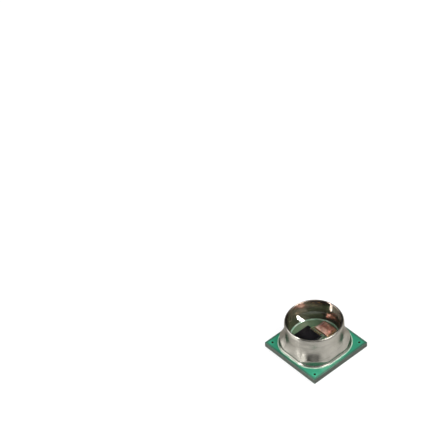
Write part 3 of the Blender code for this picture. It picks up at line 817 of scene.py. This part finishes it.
def circuit_finish(settings):
    finish = Finish("circuit_die_finish", Metallic=0.8)
    parts = finish.group("circuit")
    marks = finish.marks(size=0.45, low=0.4, high=0.6)
    base = finish.blend(parts["Block"], solid(settings.circuit), solid(settings.circuit_dark))
    base = finish.cover(base, parts["Row"], 0.4, solid(settings.circuit, 0.55))
    base = finish.cover(base, parts["Metal"], 0.5, solid(CIRCUIT_METAL))
    base = finish.cover(base, marks, 0.35, solid(CIRCUIT_GRIME))
    return finish.surface(base, finish.between(parts["Row"], 0.3, 0.42), parts["Row"], depth=0.0008,
                          strength=0.6)


class SENSOR_OT_dress_dies(bpy.types.Operator):
    """Puts the finishes on the two dies and their films, and lays the bond pads"""
    bl_idname = "pressure_sensor.dress_dies"
    bl_label = "Dress dies"

    def execute(self, context):
        settings = context.scene.sensor_dies
        finish_node("sense_die", sense_finish(settings))
        finish_node("asic_die", circuit_finish(settings))
        finish_node("sense_base", grained_finish("wafer_finish", solid(settings.wafer),
                                                 solid(settings.wafer, 1.6), [25.0], (0.25, 0.45), 0.002))
        attach = grained_finish("attach_finish", solid(settings.attach), solid(settings.attach, 1.6),
                                [18.0], (0.4, 0.6), 0.002)
        for node in ("sense_adhesive", "asic_adhesive"):
            finish_node(node, attach)
        pads = pads_mesh(settings, context.scene.sensor_wires.lead_pitch)
        pad_finish = grained_finish("pad_finish", solid(settings.aluminium), solid(settings.aluminium, 0.75),
                                    [60.0], (0.25, 0.45), metallic=1.0)
        add_piece("die_pads", pads, pad_finish)
        return {"FINISHED"}


# Bond wires

WIRE_POINTS = 18
NECK = 0.012 * MM
WEDGE = 0.05 * MM
WEDGE_WIDTH = 0.85
PULL_UP = 0.45
PULL_OVER = 0.1
LOOP_REACH = 0.55
BALL_PROFILE = ((0.0, 0.8), (0.25, 1.0), (0.7, 1.0), (1.0, 0.72))


def bezier(points, part):
    while len(points) > 1:
        points = [a.lerp(b, part) for a, b in zip(points, points[1:])]
    return points[0]


def wire_route(pad, landing, loop, settings):
    """Points and radii of one wire: a ball on its pad, a loop, and a flattened wedge."""
    start, end = pad + UP * SEAT_GAP, landing + UP * (SEAT_GAP + settings.radius)
    level = Vector((end.x - start.x, end.y - start.y, 0.0))
    route = [(start + UP * settings.ball_height * height, settings.ball * width)
             for height, width in BALL_PROFILE]
    neck = start + UP * (settings.ball_height + NECK)
    rise = start + UP * loop * (1.0 + PULL_UP)
    fall = start + level * LOOP_REACH + UP * loop * (1.0 + PULL_OVER)
    heel = end - level.normalized() * WEDGE
    for index in range(WIRE_POINTS):
        route.append((bezier([neck, rise, fall, heel], index / (WIRE_POINTS - 1)), settings.radius))
    return [*route, (end, settings.radius * WEDGE_WIDTH)]


def wires_curve(name, routes, settings):
    curve = bpy.data.curves.new(name, "CURVE")
    curve.dimensions = "3D"
    curve.bevel_depth = settings.radius
    curve.bevel_resolution = 4
    curve.use_fill_caps = True
    for route in routes:
        spline = curve.splines.new("POLY")
        spline.points.add(len(route) - 1)
        spline.use_smooth = True
        for point, (position, radius) in zip(spline.points, route):
            point.co = (*position, 1.0)
            point.radius = radius / settings.radius
    return curve


class SENSOR_OT_build_wires(bpy.types.Operator):
    """Strings the gold bond wires between the dies and down to the board"""
    bl_idname = "pressure_sensor.build_wires"
    bl_label = "Build bond wires"

    def execute(self, context):
        settings = context.scene.sensor_wires
        inset = context.scene.sensor_dies.pad_inset
        between = [wire_route(start, end, settings.sense_loop, settings) for start, end in pad_pairs(inset)]
        leads = []
        for pad, node in zip(pad_row(ASIC_HIGH.x - inset, settings.lead_pitch), FINGERS):
            finger = Vector((*middle_of(node).xy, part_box(node)[1].z))
            leads.append(wire_route(pad, finger, settings.lead_loop, settings))
        gold = gold_finish(context.scene.sensor_board)
        for name, routes, nodes in (("die_bond_wires", between, SENSE_WIRES),
                                    ("lead_bond_wires", leads, LEAD_WIRES)):
            add_piece(name, wires_curve(name, routes, settings), gold, nodes)
        return {"FINISHED"}


# Gel

GEL_STEPS = 256
GEL_ROWS = 40
GEL_CROWDING = 1.5
WALL_OVERLAP = 0.005 * MM
GEL_SHADE = (0.93, 0.95, 0.93, 1.0)


def gel_mesh(settings):
    """Up the wall from the board, then down the meniscus to the middle of the surface.

    The gel wets the wall and the board, so it reaches a hair into both and no air shows between them.
    """
    wall = BORE_RADIUS + WALL_OVERLAP
    level = GEL_HIGH.z - settings.rise
    bottom = MASK_LOW.z - SEAT_GAP / 2
    points = [(wall, bottom)]
    for index in range(GEL_ROWS, -1, -1):
        radius = wall * (1.0 - (1.0 - index / GEL_ROWS) ** GEL_CROWDING)
        points.append((radius, level + settings.rise * math.exp((radius - wall) / settings.reach)))
    middle = points.pop()[1]
    return turned_mesh("gel_fill", [level_row(*point) for point in points], GEL_STEPS, (bottom, middle))


def gel_finish(settings):
    """Clear gel that bends what is seen through it and lets the lamps reach the dies."""
    finish = Finish("clear_gel_finish", Metallic=0.0, IOR=settings.refraction, Transmission_Weight=1.0,
                    Coat_Weight=settings.skin, Coat_IOR=settings.skin_refraction, Coat_Roughness=0.0)
    marks = finish.marks(size=1.2, low=0.3, high=0.8)
    clear = finish.add("ShaderNodeBsdfTransparent", {"Color": GEL_SHADE})
    lamp = finish.add("ShaderNodeLightPath").outputs["Is Shadow Ray"]
    nodes = finish.tree.nodes
    mix = finish.add("ShaderNodeMixShader", {0: lamp, 1: nodes["Principled BSDF"].outputs["BSDF"],
                                             2: clear.outputs["BSDF"]})
    finish.feed(mix.outputs["Shader"], nodes["Material Output"].inputs["Surface"])
    return finish.surface(finish.blend(marks, solid(settings.tint), solid(settings.tint, 0.97)),
                          finish.between(marks, 0.0, 0.008),
                          finish.grain(1.1, detail=1.0)["Height"], depth=0.01)


class SENSOR_OT_build_gel(bpy.types.Operator):
    """Fills the port with clear silicone gel up to its meniscus"""
    bl_idname = "pressure_sensor.build_gel"
    bl_label = "Build gel"

    def execute(self, context):
        settings = context.scene.sensor_gel
        add_piece("gel_fill", gel_mesh(settings), gel_finish(settings), ["gel"])
        return {"FINISHED"}


# Studio

PICTURE_WIDTH = 444
SENSOR_WIDTH = 36.0
CLIP_END = 10.0
FLOOR_SIDE = 600.0 * MM
LAMP_AIM = Vector((0.0, 0.0, 1.2 * MM))
Lamp = namedtuple("Lamp", "azimuth elevation width height")
LAMPS = {"key": Lamp(-106.5, 29.0, 17.0, 50.0), "top": Lamp(90.0, 65.0, 55.0, 8.0),
         "side": Lamp(12.0, 54.0, 45.0, 45.0)}
Panel = namedtuple("Panel", "azimuth elevation core edge")
PANELS = {"left_panel": Panel(-130.0, 22.0, 14.0, 33.0), "right_panel": Panel(22.0, 25.0, 12.0, 53.0),
          "front_panel": Panel(-48.0, 26.0, 2.0, 26.0), "ceiling": Panel(-40.0, 66.0, 8.0, 34.0)}
# Pools of painted light in the floor's glow, and one of painted shade given by its negative strength; only
# reflections in steel and gel see them.
PaintedPool = namedtuple("PaintedPool", "azimuth distance core edge strength")
PAINTED_LIGHT_AND_SHADE_POOLS = (PaintedPool(-113.0, 7.2, 1.2, 3.2, 0.7), PaintedPool(-138.0, 6.9, 1.7, 3.0, -0.8),
         PaintedPool(24.0, 5.0, 1.0, 3.0, 0.2), PaintedPool(70.0, 6.3, 1.0, 3.0, 0.35))


def toward(azimuth, elevation=0.0):
    """The direction of a place in the studio, from its angles in degrees."""
    azimuth, elevation = math.radians(azimuth), math.radians(elevation)
    return Vector((math.cos(azimuth) * math.cos(elevation), math.sin(azimuth) * math.cos(elevation),
                   math.sin(elevation)))


def add_softbox(name, lamp, distance, power):
    light = bpy.data.lights.new(name, "AREA")
    light.shape = "RECTANGLE"
    light.size = lamp.width * MM
    light.size_y = lamp.height * MM
    light.energy = power
    softbox = add_object(name, light)
    direction = toward(lamp.azimuth, lamp.elevation)
    softbox.location = LAMP_AIM + direction * distance
    softbox.rotation_euler = (-direction).to_track_quat("-Z", "Y").to_euler()


def add_camera(settings):
    azimuth, elevation = settings.camera_azimuth, settings.camera_elevation
    back = Vector((math.sin(azimuth) * math.cos(elevation), -math.cos(azimuth) * math.cos(elevation),
                   math.sin(elevation)))
    level = Vector((math.cos(azimuth), math.sin(azimuth), 0.0))
    upright = back.cross(level)
    cosine, sine = math.cos(settings.camera_roll), math.sin(settings.camera_roll)
    right = cosine * level + sine * upright
    up = cosine * upright - sine * level
    pixel = settings.camera_distance / settings.focal_pixels
    place = settings.camera_distance * back - settings.off_centre_right * pixel * right
    place += settings.off_centre_down * pixel * up + Vector((0.0, 0.0, MASK_HIGH.z))
    data = bpy.data.cameras.new("camera")
    data.sensor_width = SENSOR_WIDTH
    data.lens = settings.focal_pixels * SENSOR_WIDTH / PICTURE_WIDTH
    data.clip_start = MM
    data.clip_end = CLIP_END
    camera = add_object("camera", data)
    camera.matrix_world = Matrix((right, up, back)).transposed().to_4x4()
    camera.location = place
    bpy.context.scene.camera = camera


def add_world(settings):
    """A dim studio with broad soft panels at the sides, at the front and overhead."""
    world = bpy.data.worlds.new("studio")
    world.use_nodes = True
    bpy.context.scene.world = world
    wiring = Wiring(world.node_tree)
    direction = wiring.add("ShaderNodeTexCoord").outputs["Generated"]
    level = settings.studio
    for name, panel in PANELS.items():
        middle = toward(panel.azimuth, panel.elevation)
        facing = wiring.vector("DOT_PRODUCT", direction, middle, "Value")
        edge, core = (math.cos(math.radians(turn)) for turn in (panel.edge, panel.core))
        level = wiring.plus(level, wiring.span(facing, edge, core, 0.0, getattr(settings, name)))
    wiring.feed(wiring.join(level, level, level), world.node_tree.nodes["Background"].inputs["Color"])


def add_floor(settings):
    """The floor the camera sees, and what shows of it in steel and gel: pools of painted light and one of
    painted shade.
    """
    half = FLOOR_SIDE / 2
    corners = [(-half, -half, 0.0), (half, -half, 0.0), (half, half, 0.0), (-half, half, 0.0)]
    floor = add_object("floor", new_mesh("floor", corners, [(0, 1, 2, 3)]))
    finish = Finish("floor_finish", Roughness=0.25, Emission_Color=(1.0, 1.0, 1.0, 1.0))
    marks = finish.marks(size=40.0, low=0.35, high=0.65)
    base = finish.blend(marks, solid(settings.floor), solid(settings.floor, 0.995))
    path = finish.add("ShaderNodeLightPath").outputs
    mirrored = finish.math("MAXIMUM", path["Is Glossy Ray"], path["Is Transmission Ray"])
    here = finish.millimetres()
    glow_and_painted_pools = settings.floor_glow
    # Painted light and painted shade: the pools add to the glow that reflections see.
    for pool in PAINTED_LIGHT_AND_SHADE_POOLS:
        middle = toward(pool.azimuth) * pool.distance
        glow_and_painted_pools = finish.plus(glow_and_painted_pools, finish.disc(here, middle, pool.core, pool.edge, pool.strength))
    light = finish.weigh((path["Is Camera Ray"], settings.floor_glow),
                         (mirrored, finish.math("MAXIMUM", glow_and_painted_pools)))
    finish.feed(base, finish.shader["Base Color"])
    finish.feed(light, finish.shader["Emission Strength"])
    floor.data.materials.append(finish.material)


class SENSOR_OT_set_stage(bpy.types.Operator):
    """Sets the floor, the backdrop, the lamps and the camera"""
    bl_idname = "pressure_sensor.set_stage"
    bl_label = "Set stage"

    def execute(self, context):
        settings = context.scene.sensor_studio
        context.scene.view_settings.view_transform = "Standard"
        add_floor(settings)
        add_camera(settings)
        add_world(settings)
        for name, lamp in LAMPS.items():
            add_softbox(name, lamp, settings.lamp_distance, getattr(settings, f"{name}_power"))
        return {"FINISHED"}


# Panel and registration

PARTS = {"sensor_studio": (StudioSettings, SENSOR_OT_set_stage),
         "sensor_board": (BoardSettings, SENSOR_OT_dress_board),
         "sensor_port": (PortSettings, SENSOR_OT_build_port),
         "sensor_adhesive": (AdhesiveSettings, SENSOR_OT_build_adhesive),
         "sensor_dies": (DieSettings, SENSOR_OT_dress_dies),
         "sensor_wires": (WireSettings, SENSOR_OT_build_wires),
         "sensor_gel": (GelSettings, SENSOR_OT_build_gel)}


class SENSOR_PT_panel(bpy.types.Panel):
    """The sensor's settings with the operator that uses each set"""
    bl_idname = "SENSOR_PT_panel"
    bl_label = "Pressure sensor"
    bl_space_type = "VIEW_3D"
    bl_region_type = "UI"
    bl_category = "Pressure sensor"

    def draw(self, context):
        for key, (_, operator) in PARTS.items():
            box = self.layout.box()
            settings = getattr(context.scene, key)
            for name in settings.bl_rna.properties.keys():
                if name not in ("rna_type", "name"):
                    box.prop(settings, name)
            box.operator(operator.bl_idname)


CLASSES = [*(cls for pair in PARTS.values() for cls in pair), SENSOR_PT_panel]


def register():
    for cls in CLASSES:
        bpy.utils.register_class(cls)
    for key, (group, _) in PARTS.items():
        setattr(bpy.types.Scene, key, PointerProperty(type=group))


def unregister():
    for key in PARTS:
        delattr(bpy.types.Scene, key)
    for cls in reversed(CLASSES):
        bpy.utils.unregister_class(cls)


def main():
    register()
    for build in (build_handling_marks, build_fine_grain, build_drawn_lines, build_circuit):
        build()
    bpy.ops.pressure_sensor.set_stage()
    bpy.ops.pressure_sensor.dress_board()
    bpy.ops.pressure_sensor.build_port()
    bpy.ops.pressure_sensor.build_adhesive()
    bpy.ops.pressure_sensor.dress_dies()
    bpy.ops.pressure_sensor.build_wires()
    bpy.ops.pressure_sensor.build_gel()


if __name__ == "__main__":
    main()
